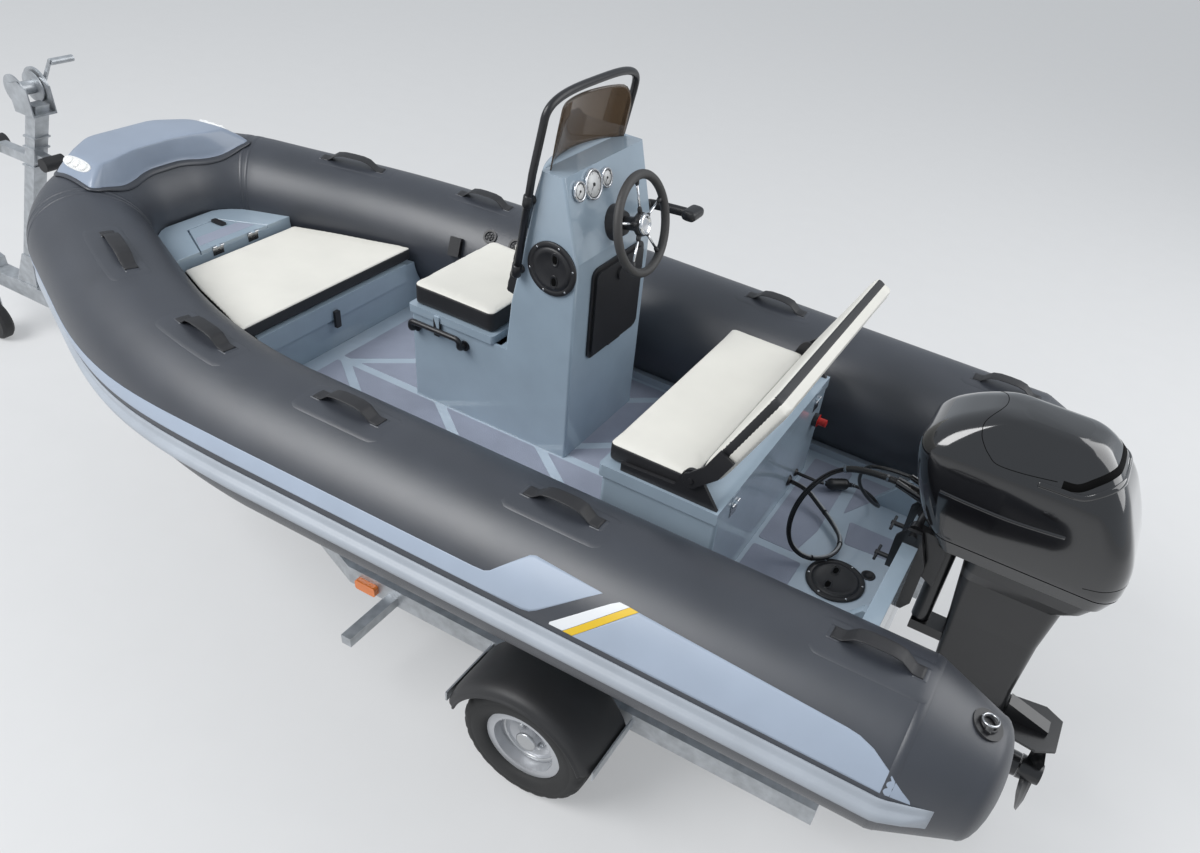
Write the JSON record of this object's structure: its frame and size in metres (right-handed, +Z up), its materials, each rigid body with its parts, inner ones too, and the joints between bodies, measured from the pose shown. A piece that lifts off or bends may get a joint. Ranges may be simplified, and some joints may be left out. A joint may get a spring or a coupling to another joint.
{
  "type": "rigid inflatable boat on trailer",
  "caption": "Small rigid inflatable boat with offset steering console, cushioned seats and a black outboard engine, on a galvanised road trailer with jockey wheel.",
  "frame": {"origin": "on the ground under the middle of the whole outfit, from the propeller to the front of the coupling, on the centre plane", "axes": "+X forward to the bow and the coupling, +Y to port, +Z up"},
  "size_m": [5.555, 1.9976, 2.032],
  "materials": {
    "tube_fabric": "satin coated fabric",
    "strake_rubber": "extruded, light grey",
    "gelcoat": "gloss moulding",
    "pad_plastic": "blue-grey moulding",
    "deck_floor": "gloss with anti-slip panels",
    "cushion": "cream coated fabric with black sides",
    "black_plastic": "moulded",
    "lens": "clear lens over white",
    "amber": "amber lens",
    "screen": "smoked",
    "black_tube": "powder coated",
    "stainless": "brushed",
    "gauge": "white dials in bright bezels",
    "engine_gloss": "gloss black",
    "engine_metal": "semi-gloss black",
    "galvanised": "hot dip galvanised",
    "rim_silver": "silver paint",
    "tyre": "road tyre",
    "guard_plastic": "moulded",
    "support_rubber": "solid rubber",
    "cord_rubber": "sheath"
  },
  "bodies": {
    "boat": {"axle": "galvanised", "bow_locker": "gelcoat", "bow_pad": "pad_plastic", "cockpit_floor": "deck_floor", "console": "gelcoat", "control_cables": "cord_rubber", "cross_beams": "galvanised", "drawbar": "galvanised", "engine_clamp": "engine_metal", "front_backrest": "cushion", "fuel_line": "cord_rubber", "gauges": "gauge", "glovebox_frame": "black_plastic", "grab_rail": "black_tube", "handle_straps": "tube_fabric", "helm_boss": "black_plastic", "helm_box": "gelcoat", "helm_fittings": "black_plastic", "hitch_coupling": "galvanised", "hull": "gelcoat", "inspection_hatches": "black_plastic", "jockey_leg": "galvanised", "mudguards": "guard_plastic", "nav_lamps": "lens", "rub_strake": "strake_rubber", "rubber_supports": "support_rubber", "screen_hoop": "black_tube", "seat_hinges": "stainless", "side_markers": "amber", "side_rails": "galvanised", "throttle": "black_plastic", "transom": "gelcoat", "tube_collar": "tube_fabric", "tube_fittings": "black_plastic", "winch_post": "galvanised", "windscreen": "screen"},
    "bow_lid": {"bow_lid": "gelcoat", "bow_cushion": "cushion"},
    "fore_hatch": {"fore_hatch": "gelcoat"},
    "front_seat_lid": {"front_seat_lid": "gelcoat", "front_seat_cushion": "cushion"},
    "glovebox_door": {"glovebox_door": "black_plastic"},
    "steering_wheel": {"steering_wheel": "black_plastic"},
    "helm_lid": {"helm_lid": "gelcoat", "helm_cushion": "cushion", "seat_brackets": "black_plastic"},
    "helm_backrest": {"helm_backrest": "cushion", "backrest_arms": "gelcoat"},
    "engine_swivel": {"engine_swivel": "engine_metal"},
    "engine": {"engine_leg": "engine_metal", "engine_pan": "engine_gloss", "engine_cowl": "engine_gloss", "gearcase": "engine_metal"},
    "propeller": {"propeller": "engine_metal"},
    "wheel_port": {"rim_port": "rim_silver", "tyre_port": "tyre"},
    "wheel_stbd": {"rim_stbd": "rim_silver", "tyre_stbd": "tyre"},
    "jockey_fork": {"jockey_fork": "galvanised"},
    "jockey_wheel": {"jockey_wheel": "support_rubber"}
  },
  "joints": [
    {"name": "wheel_port_spin", "type": "hinge", "parent": "boat", "child": "wheel_port", "pos_m": [-1.2365, 0.757, 0.2345], "axis": [0, 1, 0], "continuous": true},
    {"name": "wheel_stbd_spin", "type": "hinge", "parent": "boat", "child": "wheel_stbd", "pos_m": [-1.2365, -0.757, 0.2345], "axis": [0, 1, 0], "continuous": true},
    {"name": "jockey_swivel", "type": "hinge", "parent": "boat", "child": "jockey_fork", "pos_m": [2.5125, 0.095, 0.385], "axis": [0, 0, 1], "continuous": true},
    {"name": "jockey_spin", "type": "hinge", "parent": "jockey_fork", "child": "jockey_wheel", "pos_m": [2.4675, 0.095, 0.1], "axis": [0, 1, 0], "continuous": true},
    {"name": "engine_tilt", "type": "hinge", "parent": "boat", "child": "engine_swivel", "pos_m": [-2.1005, 0, 1.077], "axis": [0, 1, 0], "range_deg": [0, 50], "deforming": ["control_cables", "fuel_line"]},
    {"name": "engine_steer", "type": "hinge", "parent": "engine_swivel", "child": "engine", "pos_m": [-2.2075, 0, 0.985], "axis": [0, 0, 1], "range_deg": [-30, 30]},
    {"name": "prop_spin", "type": "hinge", "parent": "engine", "child": "propeller", "pos_m": [-2.7425, 0, 0.273], "axis": [1, 0, 0], "continuous": true},
    {"name": "steering_wheel_turn", "type": "hinge", "parent": "boat", "child": "steering_wheel", "pos_m": [-0.9587, -0.157, 1.61637], "axis": [-0.9704, 0, 0.2416], "range_deg": [-720, 720]},
    {"name": "helm_lid_hinge", "type": "hinge", "parent": "boat", "child": "helm_lid", "pos_m": [-1.615, 0.018, 1.13515], "axis": [0, -1, 0], "range_deg": [0, 45]},
    {"name": "helm_backrest_fold", "type": "hinge", "parent": "helm_lid", "child": "helm_backrest", "pos_m": [-1.5125, 0.018, 1.253], "axis": [0, 1, 0], "range_deg": [0, 115]},
    {"name": "front_seat_hinge", "type": "hinge", "parent": "boat", "child": "front_seat_lid", "pos_m": [-0.3825, -0.3975, 1.13315], "axis": [1, 0, 0], "range_deg": [0, 85]},
    {"name": "bow_lid_lift", "type": "slide", "parent": "boat", "child": "bow_lid", "axis": [0, 0, 1], "range_m": [0, 0.25]},
    {"name": "fore_hatch_hinge", "type": "hinge", "parent": "boat", "child": "fore_hatch", "pos_m": [0.725, 0, 1.0671], "axis": [0, -1, 0], "range_deg": [0, 90]},
    {"name": "glovebox_hinge", "type": "hinge", "parent": "boat", "child": "glovebox_door", "pos_m": [-0.8845, -0.178, 1.1595], "axis": [0, -1, 0], "range_deg": [0, 80]}
  ],
  "couplings": [
    {"joint": "steering_wheel_turn", "follows": "engine_steer", "ratio": -24}
  ]
}
